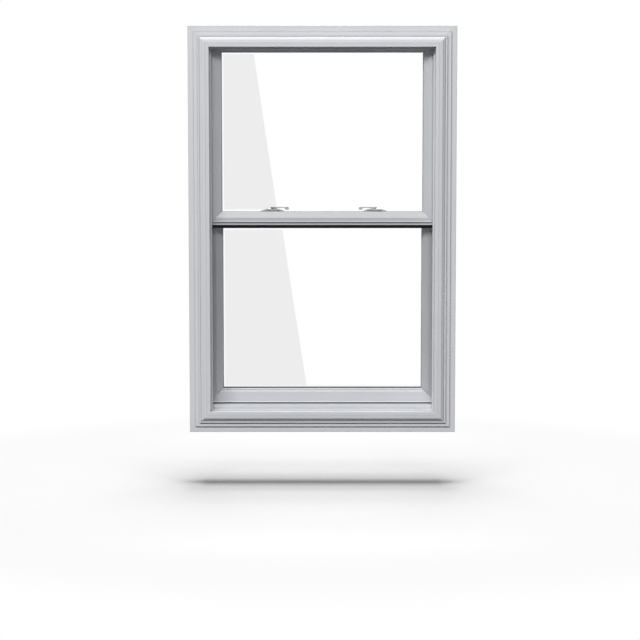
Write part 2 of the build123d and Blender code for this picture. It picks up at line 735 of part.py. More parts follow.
def make_locks(upper, lower):
    lock = make_lock()
    lock_screws, keeper_screws = [], []
    for side, turn in (("right", lambda s: Pos(lock_offset, 0, 0) * s),
                       ("left", lambda s: Pos(lock_offset, 0, 0) * mirrored(s))):
        nodes[f"lock_base_{side}"] = turn(lock["base"])
        nodes[f"lock_cam_{side}"] = turn(lock["cam"])
        nodes[f"lock_lever_{side}"] = turn(lock["lever"])
        nodes[f"lock_keeper_{side}"] = turn(lock["keeper"])
        lock_screws += [turn(s) for s in lock["screws"]]
        keeper_screws += [turn(s) for s in lock["keeper_screws"]]
    nodes["lock_screws"] = Compound(lock_screws)
    nodes["keeper_screws"] = Compound(keeper_screws)
    for sign in (-1, 1):
        for offset in (-1, 1):
            sx = lock_offset + sign * lock_spacing / 2 + offset * lock_screw_spacing / 2
            sy = lower_front + lock_set_back + lock_width / 2
            lower["lower_check_rail"] -= round_z(sx, sy, (lower_top - lock_screw_hole, lower_top + 1),
                                                 lock_screw_radius + screw_hole_clearance)
            kx = lock_offset + sign * lock_spacing / 2 + offset * keeper_screw_spacing / 2
            ky = upper_back - keeper_width / 2
            hole = round_z(kx, ky, (lower_top - keeper_screw_hole, lower_top + 1),
                           keeper_screw_radius + screw_hole_clearance)
            upper["upper_beads"] = [bead - hole for bead in upper["upper_beads"]]


def add_interlock(upper, lower):
    """Hooked lips on the two meeting rails that catch each other when both sashes are shut."""
    half = frame_half - parting_reach - interlock_end_gap
    play = (track_gap - 2 * interlock_lip) / 3
    fin = interlock_fin
    low_hook = block((-half, half), (upper_back + play, lower_front + face_set_back),
                     (lower_top - fin, lower_top))
    low_hook += block((-half, half), (upper_back + play, upper_back + play + interlock_lip),
                      (lower_top - interlock_drop, lower_top))
    lower["lower_check_rail"] += low_hook
    foot = lower_top - interlock_drop - interlock_fin_gap
    high_hook = block((-half, half), (upper_back, lower_front - play), (foot, foot + fin))
    high_hook += block((-half, half), (lower_front - play - interlock_lip, lower_front - play),
                       (foot, foot + interlock_drop))
    upper["upper_meeting_rail"] += high_hook


def add_lift_rail(lower):
    """A finger rail along the indoor face of the lower sash's bottom rail."""
    level = lower_daylight[0] - pocket_depth - lift_rail_drop
    back, wall = lower_back + lift_rail_reach, lift_rail_wall
    section = outline([(lower_back - 1, level), (back, level + wall), (back, level - wall),
                       (back - wall, level - wall), (back - wall, level), (lower_back - 1, level - wall)])
    lower["lower_bottom_rail"] += run_along_x(section, lift_rail_half)


def add_seals(name, front, bottom, top, pieces):
    """Pile strips in grooves down the outer edge of each stile."""
    y = (front + sash_thickness - pile_inset - pile_width, front + sash_thickness - pile_inset)
    z = (bottom + pile_end_gap, top - pile_end_gap)
    play, rim = pile_clearance, pile_groove_wall
    groove = block((sash_half - pile_depth, sash_half + 1), (y[0] - play, y[1] + play),
                   (z[0] - play, z[1] + play))
    pile = block((sash_half - pile_depth + play, sash_half + pile_stand), y, z)
    wall = block((sash_half - pile_depth - sash_wall, sash_half), (y[0] - rim, y[1] + rim),
                 (z[0] - rim, z[1] + rim))
    for side, turn in (("right", lambda s: s), ("left", mirrored)):
        key = f"{name}_stile_{side}"
        pieces[key] = pieces[key] + turn(wall) - turn(groove)
    nodes[f"{name}_pile_seals"] = Compound([pile, mirrored(pile)])


def make_bottom_seal():
    """A soft bulb under the lower sash that rests on the sill."""
    radius = bottom_seal_height / 2
    half = sash_half - bottom_seal_end_gap
    bulb = round_x((-half, half), lower_mid, lower_bottom - radius, radius)
    foot = block((-half, half), (lower_mid - bottom_seal_foot / 2, lower_mid + bottom_seal_foot / 2),
                 (lower_bottom - bottom_seal_plate, lower_bottom))
    nodes["lower_bottom_seal"] = bulb + foot


def make_sashes():
    upper = make_sash("upper", upper_front, (upper_bottom, upper_top), upper_daylight, {
        "left": (stile_width, plain_face, "upper_stile_left"),
        "right": (stile_width, plain_face, "upper_stile_right"),
        "top": (top_rail_height, plain_face, "upper_top_rail"),
        "bottom": (meeting_rail_height, grooved_face, "upper_meeting_rail")})
    lower = make_sash("lower", lower_front, (lower_bottom, lower_top), lower_daylight, {
        "left": (stile_width, plain_face, "lower_stile_left"),
        "right": (stile_width, plain_face, "lower_stile_right"),
        "top": (check_rail_height, plain_face, "lower_check_rail"),
        "bottom": (bottom_rail_height, stepped_face, "lower_bottom_rail")})
    make_balance("upper", upper_mid, upper_bottom, 0.0, upper_travel, upper)
    make_balance("lower", lower_mid, lower_bottom, lower_travel, 0.0, lower)
    nodes["balance_tube_screws"] = Compound(tube_screws)
    make_latches("upper", upper_mid, upper_top, upper)
    make_latches("lower", lower_mid, lower_top, lower)
    make_locks(upper, lower)
    add_interlock(upper, lower)
    add_lift_rail(lower)
    add_seals("upper", upper_front, upper_bottom, upper_top, upper)
    add_seals("lower", lower_front, lower_bottom, lower_top, lower)
    make_bottom_seal()
    for name, pieces in (("upper", upper), ("lower", lower)):
        nodes[f"{name}_glazing_beads"] = Compound(pieces.pop(f"{name}_beads"))
        nodes.update(pieces)


make_brickmould()
make_frame()
make_sashes()
os.makedirs("parts", exist_ok=True)
for node_name, shape in nodes.items():
    export_step(shape, f"parts/{node_name}.step")
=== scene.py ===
"""Dresses a white vinyl double-hung window for a picture: finishes, glazing tape, seals and stage."""
from math import radians

import bmesh
import bpy
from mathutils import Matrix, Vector


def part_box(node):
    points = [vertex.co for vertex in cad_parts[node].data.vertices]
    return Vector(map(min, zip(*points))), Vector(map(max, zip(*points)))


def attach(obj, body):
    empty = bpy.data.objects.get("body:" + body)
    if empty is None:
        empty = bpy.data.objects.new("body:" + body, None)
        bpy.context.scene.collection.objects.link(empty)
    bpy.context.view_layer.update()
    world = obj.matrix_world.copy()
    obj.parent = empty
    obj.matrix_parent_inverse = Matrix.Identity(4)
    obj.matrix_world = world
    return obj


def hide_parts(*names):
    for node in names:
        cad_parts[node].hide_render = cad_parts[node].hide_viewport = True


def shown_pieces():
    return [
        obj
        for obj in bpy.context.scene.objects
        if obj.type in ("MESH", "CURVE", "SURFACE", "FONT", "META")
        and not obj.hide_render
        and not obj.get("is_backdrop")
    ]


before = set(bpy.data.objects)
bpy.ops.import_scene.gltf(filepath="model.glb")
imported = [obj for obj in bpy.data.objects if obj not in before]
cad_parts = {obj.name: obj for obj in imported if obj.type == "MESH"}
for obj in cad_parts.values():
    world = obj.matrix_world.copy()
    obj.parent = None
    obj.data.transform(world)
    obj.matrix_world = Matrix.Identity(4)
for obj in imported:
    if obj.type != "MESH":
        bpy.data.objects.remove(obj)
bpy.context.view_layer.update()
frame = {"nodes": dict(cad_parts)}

bl_info = {
    "name": "Double-Hung Window Dressing",
    "version": (1, 0, 0),
    "blender": (4, 5, 0),
    "location": "3D View > Sidebar > Window",
    "description": "Finishes, glazing tape, seals and studio for a vinyl double-hung window",
    "category": "Object",
}

# Width of the photograph and the sideways place of its middle, in pixels
IMAGE_SIDE, IMAGE_OFFSET = 640, -2.35
SASHES = ("upper", "lower")
SQUARE = ((-1, -1), (1, -1), (1, 1), (-1, 1))


def mm(value):
    """Millimetres to metres."""
    return value / 1000.0


# Corners of a solid that are closer than this are one corner
SAME_POINT = mm(0.01)

# Real sizes of what the finishes show
DIE_RUN = mm(20000.0)
CLOUD_WIDTH = mm(110.0)
SPECK_WIDTH = mm(2.2)
# How far the painted shade reaches out of inside corners
CORNER_SHADE_REACH = mm(5.0)
FLOW_WIDTH = mm(14.0)
PEEL_WIDTH, POOL_WIDTH = mm(1.4), mm(9.0)
ROLLER_WAVE = mm(160.0)
GLASS_IOR = 1.52

# Glazing tape, bead lip and the check rail's black fin of painted shade
TAPE_SUNK = mm(0.4)
GLASS_FILM = mm(0.02)
LIP_EDGE, LIP_ROOT = mm(0.5), mm(1.0)
FIN_SUNK, FIN_PROUD, FIN_ROUND = mm(0.1), mm(0.9), mm(0.3)
FIN_LOW_GAP, FIN_HIGH_GAP, FIN_OVERLAP = mm(0.7), mm(0.2), mm(1.5)

# Cross recesses and pile tufts
RECESS_SHARE, ARM_SHARE = 0.36, 0.24
RECESS_DEPTH, RECESS_PROUD = mm(0.1), mm(0.03)
PILE_COLUMNS = 3
TUFT_LEAN, TUFT_UNEVEN = mm(0.25), mm(0.35)
TUFT_TIP_Y, TUFT_TIP_Z = 0.55, 0.5

# Stage, in metres from the middle of the frame's underside
STAGE_MIDDLE = Vector((0.0, 0.0, 0.45))
KEY_PLACE, KEY_SIDES = STAGE_MIDDLE + Vector((-2.7, -9.4, 6.9)), (12.0, 3.2)
TOP_PLACE, TOP_SIDES = STAGE_MIDDLE + Vector((0.0, 0.0, 6.0)), (1.6, 1.6)
BACK_PLACE, BACK_SIDES = STAGE_MIDDLE + Vector((2.0, 9.0, 5.5)), (9.0, 3.0)
FLOOR_MIDDLE = Vector((0.0, 0.03, 0.0))
FLOOR_LAMP_PLACE, FLOOR_LAMP_SIDES = FLOOR_MIDDLE + Vector((0.0, 0.0, 2.6)), (1.0, 2.0)
FLOOR_REACH = 12.0
FLOOR_SHADE = 0.08
GLOW_START, GLOW_END = 0.7, 1.3
SENSOR_WIDTH, VIEW_REACH = 36.0, 60.0
FLAG_Y = -1.5
FLAG_MARGIN = mm(4.5)
# Where the slanted edge of each flag shows on its pane: at the foot and at the head
FLAG_SLANTS = {"upper": (-0.1085, -0.1627), "lower": (-0.0383, -0.0965)}


def linear(hex_colour):
    """An sRGB hex value as linear red, green, blue and an alpha of one."""
    parts = [int(hex_colour[i:i + 2], 16) / 255 for i in (1, 3, 5)]
    return tuple(p / 12.92 if p <= 0.04045 else ((p + 0.055) / 1.055) ** 2.4 for p in parts) + (1.0,)


def colour_property(name, description, hex_colour):
    return bpy.props.FloatVectorProperty(
        name=name, description=description, subtype="COLOR", size=4, min=0.0, max=1.0,
        default=linear(hex_colour))


def length_property(name, description, value_mm):
    return bpy.props.FloatProperty(
        name=name, description=description, unit="LENGTH", subtype="DISTANCE", default=mm(value_mm),
        min=mm(0.01), precision=5)


def power_property(name, description, watts):
    return bpy.props.FloatProperty(name=name, description=description, unit="POWER", default=watts, min=0.0)


def share_property(name, description, share):
    return bpy.props.FloatProperty(
        name=name, description=description, subtype="FACTOR", default=share, min=0.0, max=1.0)


class WindowFinishSettings(bpy.types.PropertyGroup):
    """Colours and grain sizes of the window's finishes."""
    vinyl: colour_property("Vinyl", "White of the extruded frame, sashes and brickmould", "#D7D9DD")
    hardware: colour_property("Lock enamel", "Baked enamel on the cam locks and keepers", "#8F9194")
    latch: colour_property("Latch plastic", "Moulded tilt latches and their troughs", "#D3D5D8")
    glass: colour_property("Glass", "Tint of the float glass", "#FFFFFF")
    tape: colour_property("Glazing tape", "Foam tape between glass and vinyl", "#3A3B3E")
    pile: colour_property("Pile", "Woven weather pile", "#8F9194")
    draw_line: length_property("Draw line spacing", "Spacing of the fine lines left by the die", 1.6)
    edge_round: length_property("Edge rounding", "Radius of the extruded and cut edges", 0.35)


class WindowDetailSettings(bpy.types.PropertyGroup):
    """Sizes of the small pieces that are added to the CAD solids."""
    tape_reach: length_property("Tape reach", "How far the glazing tape stands in from the lip", 0.4)
    tape_foot: length_property("Tape foot", "The same reach along the foot of the lower pane", 2.9)
    tape_height: length_property("Tape height", "How far the tape stands off the glass", 1.1)
    lip_reach: length_property("Bead lip reach", "How far the bead's soft lip stands in over the glass", 1.0)
    pile_pitch: length_property("Pile pitch", "Distance from one row of tufts to the next", 1.2)
    recess_reach: length_property("Drive recess", "Length of one arm of a screw's cross recess", 1.5)


class WindowStageSettings(bpy.types.PropertyGroup):
    """Floor, lamps and camera of the studio."""
    floor_drop: length_property("Floor drop", "How far the floor lies below the frame's underside", 154.0)
    floor_colour: colour_property("Floor", "Pale studio floor", "#F4F4F4")
    floor_glow: share_property("Shadow fill", "Share of white light in the floor's shadow", 0.18)
    key_power: power_property("Key lamp", "Power of the soft lamp in front, above and to the left", 1550.0)
    upper_share: share_property("Upper share", "Share of the key lamp on the upper stiles and rail", 0.73)
    lower_share: share_property("Lower share", "Share of the key lamp on the lower sash's stiles", 0.5)
    sill_share: share_property("Sill share", "Share of the key lamp on the bottom rail and the sill", 0.85)
    top_power: power_property("Top lamp", "Power of the soft lamp over the window", 130.0)
    back_power: power_property("Back lamp", "Power of the soft lamp behind the window", 900.0)
    floor_power: power_property("Floor lamp", "Power of the soft lamp over the floor", 97.0)
    fill: share_property("Room light", "Strength of the even light from the white room", 0.04)
    view_distance: length_property("Camera distance", "From the wall plane to the camera", 4603.9)
    view_height: length_property("Camera height", "Above the window frame's underside", 679.1)
    view_pitch: bpy.props.FloatProperty(
        name="Camera pitch", description="How far the camera looks down", subtype="ANGLE",
        default=radians(5.413))
    view_lens: bpy.props.FloatProperty(
        name="Lens", description="Focal length on a 36 mm sensor", subtype="DISTANCE_CAMERA", default=108.79)
    view_shift: bpy.props.FloatProperty(
        name="Shift", description="Sideways shift as a share of the picture's width",
        default=IMAGE_OFFSET / IMAGE_SIDE)


def add_node(tree, kind, inputs=None, **settings):
    """Adds a node, sets its own settings, and gives each named input a value or a link from a socket."""
    node = tree.nodes.new(kind)
    for key, value in settings.items():
        setattr(node, key, value)
    for key, value in (inputs or {}).items():
        if isinstance(value, bpy.types.NodeSocket):
            tree.links.new(value, node.inputs[key])
        else:
            node.inputs[key].default_value = value
    return node


def new_material(name):
    """An empty node material."""
    material = bpy.data.materials.new(name)
    material.use_nodes = True
    material.node_tree.nodes.clear()
    return material, material.node_tree


def finish_material(tree, shader):
    add_node(tree, "ShaderNodeOutputMaterial", {"Surface": shader})


def tone(colour, factor):
    """A colour made lighter or darker by a factor."""
    return tuple(min(1.0, c * factor) for c in colour[:3]) + (1.0,)


def extruded_vinyl(name, colour, run, spacing):
    """Extruded rigid PVC: fine draw lines along the run, a faintly uneven white, a satin gloss and painted
    shade in the inside corners.
    """
    material, tree = new_material(name)
    place = add_node(tree, "ShaderNodeTexCoord").outputs["Object"]
    across = 1.0 / spacing
    along = 1.0 / DIE_RUN
    scale = (along, across, across) if run == "x" else (across, across, along)
    stretched = add_node(tree, "ShaderNodeMapping", {"Vector": place, "Scale": scale}).outputs["Vector"]
    lines = add_node(tree, "ShaderNodeTexNoise", {"Vector": stretched, "Scale": 1.0, "Detail": 3.0,
                                                  "Roughness": 0.55}).outputs["Fac"]
    # Cooling after the die leaves the white uneven over about a hand's width.
    cloud = add_node(tree, "ShaderNodeTexNoise", {"Vector": place, "Scale": 1.0 / CLOUD_WIDTH,
                                                  "Detail": 2.0}).outputs["Fac"]
    # Handling leaves a fine dust and hairline scuffs a few millimetres across.
    specks = add_node(tree, "ShaderNodeTexNoise", {"Vector": place, "Scale": 1.0 / SPECK_WIDTH, "Detail": 4.0,
                                                   "Roughness": 0.7}).outputs["Fac"]
    cloud_tone = add_node(tree, "ShaderNodeValToRGB", {"Fac": cloud})
    cloud_tone.color_ramp.elements[0].position, cloud_tone.color_ramp.elements[1].position = 0.3, 0.7
    cloud_tone.color_ramp.elements[0].color = tone(colour, 0.975)
    cloud_tone.color_ramp.elements[1].color = tone(colour, 1.015)
    line_share = add_node(tree, "ShaderNodeMapRange", {
        "Value": lines, "From Min": 0.35, "From Max": 0.65, "To Min": 0.0, "To Max": 0.35}).outputs["Result"]
    lined = add_node(tree, "ShaderNodeMixRGB", {"Fac": line_share, "Color1": cloud_tone.outputs["Color"],
                                                "Color2": tone(colour, 0.955)}).outputs["Color"]
    speck_share = add_node(tree, "ShaderNodeMapRange", {"Value": specks, "From Min": 0.62, "From Max": 0.8,
                                                        "To Min": 0.0, "To Max": 0.25}).outputs["Result"]
    dust_and_corner_shade = add_node(tree, "ShaderNodeMixRGB", {"Fac": speck_share, "Color1": lined,
                                                "Color2": tone(colour, 0.86)}).outputs["Color"]
    # Painted shade: the white darkens in the inside corners of the steps and grooves, a few millimetres wide,
    # where shade falls.
    open_share = add_node(tree, "ShaderNodeAmbientOcclusion", {"Distance": CORNER_SHADE_REACH},
                          samples=8).outputs["AO"]
    corner_shade_share = add_node(tree, "ShaderNodeMapRange", {"Value": open_share, "From Min": 0.4, "From Max": 0.95,
                                                       "To Min": 0.5, "To Max": 0.0}).outputs["Result"]
    dust_and_corner_shade = add_node(tree, "ShaderNodeMixRGB", {"Fac": corner_shade_share, "Color1": dust_and_corner_shade,
                                                "Color2": tone(colour, 0.4)}).outputs["Color"]
    gloss = add_node(tree, "ShaderNodeMapRange", {"Value": lines, "From Min": 0.3, "From Max": 0.7,
                                                  "To Min": 0.34, "To Max": 0.46}).outputs["Result"]
    rounded = add_node(tree, "ShaderNodeBump", {"Height": lines, "Strength": 0.12, "Distance": mm(0.15)})
    shader = add_node(tree, "ShaderNodeBsdfPrincipled", {
        "Base Color": dust_and_corner_shade, "Roughness": gloss, "Normal": rounded.outputs["Normal"], "IOR": 1.53})
    finish_material(tree, shader.outputs["BSDF"])
    return material


def moulded_plastic(name, colour, roughness, ior, grain):
    """Small moulded or extruded plastic: a very fine even grain from the tool, slightly mottled."""
    material, tree = new_material(name)
    place = add_node(tree, "ShaderNodeTexCoord").outputs["Object"]
    pits = add_node(tree, "ShaderNodeTexNoise", {"Vector": place, "Scale": 1.0 / grain,
                                                 "Detail": 3.0}).outputs["Fac"]
    flow = add_node(tree, "ShaderNodeTexNoise", {"Vector": place, "Scale": 1.0 / FLOW_WIDTH,
                                                 "Detail": 2.0}).outputs["Fac"]
    shades = add_node(tree, "ShaderNodeMixRGB", {"Fac": flow, "Color1": tone(colour, 0.95),
                                                 "Color2": tone(colour, 1.04)}).outputs["Color"]
    gloss = add_node(tree, "ShaderNodeMapRange", {"Value": pits, "To Min": roughness - 0.06,
                                                  "To Max": roughness + 0.08}).outputs["Result"]
    bump = add_node(tree, "ShaderNodeBump", {"Height": pits, "Strength": 0.15, "Distance": mm(0.05)})
    shader = add_node(tree, "ShaderNodeBsdfPrincipled", {
        "Base Color": shades, "Roughness": gloss, "Normal": bump.outputs["Normal"], "IOR": ior})
    finish_material(tree, shader.outputs["BSDF"])
    return material


def float_glass(name, colour):
    """Polished float glass: clear and colourless by default, with faint roller waves."""
    material, tree = new_material(name)
    place = add_node(tree, "ShaderNodeTexCoord").outputs["Object"]
    waves = add_node(tree, "ShaderNodeTexNoise", {"Vector": place, "Scale": 1.0 / ROLLER_WAVE,
                                                  "Detail": 1.0}).outputs["Fac"]
    bump = add_node(tree, "ShaderNodeBump", {"Height": waves, "Strength": 0.05, "Distance": mm(0.2)})
    # Each face mirrors about four parts in a hundred straight on and more aslant; the rest goes through.
    sheen = add_node(tree, "ShaderNodeBsdfGlossy", {"Color": (1.0, 1.0, 1.0, 1.0), "Roughness": 0.0,
                                                    "Normal": bump.outputs["Normal"]})
    clear = add_node(tree, "ShaderNodeBsdfTransparent", {"Color": colour})
    facing = add_node(tree, "ShaderNodeNewGeometry").outputs["Backfacing"]
    index = add_node(tree, "ShaderNodeMapRange", {"Value": facing, "To Min": GLASS_IOR,
                                                  "To Max": 1.0 / GLASS_IOR}).outputs["Result"]
    share = add_node(tree, "ShaderNodeFresnel", {"IOR": index}).outputs["Fac"]
    mix = add_node(tree, "ShaderNodeMixShader", {0: share, 1: clear.outputs["BSDF"],
                                                 2: sheen.outputs["BSDF"]})
    finish_material(tree, mix.outputs["Shader"])
    return material


def plated_metal(name, colour, roughness, grain):
    """Zinc-plated steel, spring steel or aluminium: bright, with a fine crystal mottle in its gloss."""
    material, tree = new_material(name)
    place = add_node(tree, "ShaderNodeTexCoord").outputs["Object"]
    crystals = add_node(tree, "ShaderNodeTexVoronoi", {"Vector": place,
                                                       "Scale": 1.0 / grain}).outputs["Color"]
    share = add_node(tree, "ShaderNodeSeparateColor", {"Color": crystals}).outputs["Red"]
    shades = add_node(tree, "ShaderNodeMixRGB", {"Fac": share, "Color1": tone(colour, 0.88),
                                                 "Color2": tone(colour, 1.06)}).outputs["Color"]
    gloss = add_node(tree, "ShaderNodeMapRange", {"Value": share, "To Min": roughness - 0.07,
                                                  "To Max": roughness + 0.1}).outputs["Result"]
    shader = add_node(tree, "ShaderNodeBsdfPrincipled", {
        "Base Color": shades, "Metallic": 1.0, "Roughness": gloss})
    finish_material(tree, shader.outputs["BSDF"])
    return material


def baked_enamel(name, colour):
    """Baked enamel on a zinc casting: an even grey coat with a little orange peel."""
    material, tree = new_material(name)
    place = add_node(tree, "ShaderNodeTexCoord").outputs["Object"]
    peel = add_node(tree, "ShaderNodeTexNoise", {"Vector": place, "Scale": 1.0 / PEEL_WIDTH,
                                                 "Detail": 2.0}).outputs["Fac"]
    pool = add_node(tree, "ShaderNodeTexNoise", {"Vector": place, "Scale": 1.0 / POOL_WIDTH,
                                                 "Detail": 2.0}).outputs["Fac"]
    shades = add_node(tree, "ShaderNodeMixRGB", {"Fac": pool, "Color1": tone(colour, 0.93),
                                                 "Color2": tone(colour, 1.05)}).outputs["Color"]
    gloss = add_node(tree, "ShaderNodeMapRange", {"Value": peel, "To Min": 0.22,
                                                  "To Max": 0.36}).outputs["Result"]
    bump = add_node(tree, "ShaderNodeBump", {"Height": peel, "Strength": 0.2, "Distance": mm(0.05)})
    shader = add_node(tree, "ShaderNodeBsdfPrincipled", {
        "Base Color": shades, "Roughness": gloss, "Normal": bump.outputs["Normal"], "IOR": 1.5,
        "Coat Weight": 0.4, "Coat Roughness": 0.12})
    finish_material(tree, shader.outputs["BSDF"])
    return material


def soft_strip(name, colour, roughness, grain):
    """Foam tape, rubber or pile yarn: matt and slightly ragged."""
    material, tree = new_material(name)
    place = add_node(tree, "ShaderNodeTexCoord").outputs["Object"]
    fibres = add_node(tree, "ShaderNodeTexNoise", {"Vector": place, "Scale": 1.0 / grain, "Detail": 5.0,
                                                   "Roughness": 0.7}).outputs["Fac"]
    shades = add_node(tree, "ShaderNodeMixRGB", {"Fac": fibres, "Color1": tone(colour, 0.75),
                                                 "Color2": tone(colour, 1.2)}).outputs["Color"]
    bump = add_node(tree, "ShaderNodeBump", {"Height": fibres, "Strength": 0.5, "Distance": mm(0.15)})
    shader = add_node(tree, "ShaderNodeBsdfPrincipled", {
        "Base Color": shades, "Roughness": roughness, "Normal": bump.outputs["Normal"], "IOR": 1.5,
        "Sheen Weight": 0.2, "Sheen Roughness": 0.5})
    finish_material(tree, shader.outputs["BSDF"])
    return material


def dress(material, *names):
    """Gives CAD nodes their finish."""
    for name in names:
        node = frame["nodes"][name]
        node.data.materials.clear()
        node.data.materials.append(material)


def round_edges(width, *names):
    """Rounds the sharp edges of CAD nodes, as a die or a weld-cleaning knife leaves them."""
    for name in names:
        node = frame["nodes"][name]
        weld = node.modifiers.new("Joined faces", "WELD")
        weld.merge_threshold = SAME_POINT
        bevel = node.modifiers.new("Rounded edges", "BEVEL")
        bevel.width = width
        bevel.segments = 2
        bevel.limit_method = "ANGLE"
        bevel.angle_limit = radians(35)
        bevel.use_clamp_overlap = True
        shade = node.modifiers.new("Even shading", "WEIGHTED_NORMAL")
        shade.keep_sharp = False


def new_piece(name, mesh, material, body):
    """Puts a mesh in the scene as a piece that rides on a body."""
    mesh.materials.append(material)
    piece = bpy.data.objects.new(name, mesh)
    bpy.context.scene.collection.objects.link(piece)
    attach(piece, body)
    return piece


def ring_mesh(name, half, low, high, profile, foot=1.0):
    """A mitred ring. Each profile point is a step in from the opening's edge and a depth.

    The steps in along the foot are multiplied by the last argument.
    """
    build = bmesh.new()
    loops = []
    for inset, depth in profile:
        step = inset * foot if inset > 0 else inset
        corners = [(-half + inset, low + step), (half - inset, low + step),
                   (half - inset, high - inset), (-half + inset, high - inset)]
        loops.append([build.verts.new((x, depth, z)) for x, z in corners])
    for index, loop in enumerate(loops):
        following = loops[(index + 1) % len(loops)]
        for corner in range(4):
            onward = (corner + 1) % 4
            build.faces.new((loop[corner], loop[onward], following[onward], following[corner]))
    return finish_mesh(build, name)


def close_block(build, foot, top):
    """Joins two four-cornered ends into a closed block."""
    build.faces.new(top)
    build.faces.new(foot[::-1])
    for index in range(4):
        onward = (index + 1) % 4
        build.faces.new((foot[index], foot[onward], top[onward], top[index]))


def finish_mesh(build, name):
    """Turns a built shape into a mesh whose faces look outward."""
    bmesh.ops.recalc_face_normals(build, faces=build.faces)
    mesh = bpy.data.meshes.new(name)
    build.to_mesh(mesh)
    build.free()
    return mesh


def daylight(sash):
    """Half width, low and high edge of a sash's glass opening, and the outer and inner glass faces."""
    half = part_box(f"{sash}_stile_right")[0].x
    bead_low, bead_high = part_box(f"{sash}_glazing_beads")
    low_rail = "upper_meeting_rail" if sash == "upper" else "lower_bottom_rail"
    high_rail = "upper_top_rail" if sash == "upper" else "lower_check_rail"
    low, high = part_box(low_rail)[1].z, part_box(high_rail)[0].z
    if sash == "lower":
        high = bead_high.z - (low - bead_low.z)
    outer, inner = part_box(f"{sash}_outer_pane")[0].y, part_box(f"{sash}_inner_pane")[1].y
    return half, low, high, outer, inner


def solid_boxes(name):
    """The box of each separate solid in a CAD node, in the order of the solids' first corners."""
    build = bmesh.new()
    build.from_mesh(frame["nodes"][name].data)
    bmesh.ops.remove_doubles(build, verts=build.verts, dist=SAME_POINT)
    reached, boxes = set(), []
    for first in build.verts:
        if first in reached:
            continue
        reached.add(first)
        points, front = [], [first]
        while front:
            vert = front.pop()
            points.append(tuple(vert.co))
            for edge in vert.link_edges:
                other = edge.other_vert(vert)
                if other not in reached:
                    reached.add(other)
                    front.append(other)
        boxes.append((Vector(map(min, *points)), Vector(map(max, *points))))
    build.free()
    return boxes


class WINDOW_OT_finish_vinyl(bpy.types.Operator):
    """Gives the brickmould, frame, sashes and beads their extruded vinyl"""
    bl_idname = "window.finish_vinyl"
    bl_label = "Finish Vinyl"

    def execute(self, context):
        finish = context.scene.window_finish
        upright = extruded_vinyl("extruded_white_pvc_upright", finish.vinyl, "z", finish.draw_line)
        level = extruded_vinyl("extruded_white_pvc_level", finish.vinyl, "x", finish.draw_line)
        upright_names = ["brickmould_left", "brickmould_right", "frame_jamb_left", "frame_jamb_right"]
        level_names = ["brickmould_head", "brickmould_bottom", "frame_head", "frame_sill", "upper_top_rail",
                       "upper_meeting_rail", "lower_check_rail", "lower_bottom_rail", "upper_glazing_beads",
                       "lower_glazing_beads"]
        for sash in SASHES:
            upright_names += [f"{sash}_stile_left", f"{sash}_stile_right"]
        dress(upright, *upright_names)
        dress(level, *level_names)
        round_edges(finish.edge_round, *upright_names, *level_names)
        return {"FINISHED"}


class WINDOW_OT_finish_glass(bpy.types.Operator):
    """Gives the panes clear float glass and the spacers mill-finish aluminium"""
    bl_idname = "window.finish_glass"
    bl_label = "Finish Glass"

    def execute(self, context):
        finish = context.scene.window_finish
        glass = float_glass("float_glass", finish.glass)
        spacer = plated_metal("mill_finish_aluminium", linear("#C9CACC"), 0.38, mm(0.8))
        for sash in SASHES:
            dress(glass, f"{sash}_outer_pane", f"{sash}_inner_pane")
            dress(spacer, f"{sash}_glass_spacer")
        return {"FINISHED"}


class WINDOW_OT_finish_hardware(bpy.types.Operator):
    """Finishes locks, latches, balances, pivot bars and screws"""
    bl_idname = "window.finish_hardware"
    bl_label = "Finish Hardware"

    def execute(self, context):
        finish = context.scene.window_finish
        enamel = baked_enamel("baked_enamel_on_zinc", finish.hardware)
        latch = moulded_plastic("moulded_acetal", finish.latch, 0.36, 1.48, mm(0.6))
        nylon = moulded_plastic("moulded_nylon", linear("#CFCFCB"), 0.45, 1.53, mm(0.7))
        tube = moulded_plastic("extruded_pvc_tube", linear("#DDDDDB"), 0.4, 1.53, mm(1.2))
        zinc = plated_metal("zinc_plated_steel", linear("#B4B6B3"), 0.3, mm(0.5))
        spring = plated_metal("rolled_spring_steel", linear("#8C8C8D"), 0.36, mm(0.4))
        for side in ("left", "right"):
            lock = [f"lock_{part}_{side}" for part in ("base", "cam", "keeper", "lever")]
            dress(enamel, *lock)
            round_edges(finish.edge_round, f"lock_lever_{side}", f"lock_keeper_{side}")
            for sash in SASHES:
                dress(latch, f"{sash}_tilt_latch_{side}")
                dress(nylon, f"{sash}_balance_shoe_{side}")
                dress(tube, f"{sash}_balance_tube_{side}")
                dress(spring, f"{sash}_spiral_rod_{side}")
                dress(zinc, f"{sash}_pivot_bar_{side}")
        dress(latch, "upper_latch_troughs", "lower_latch_troughs")
        dress(zinc, "lock_screws", "keeper_screws", "balance_tube_screws")
        return {"FINISHED"}


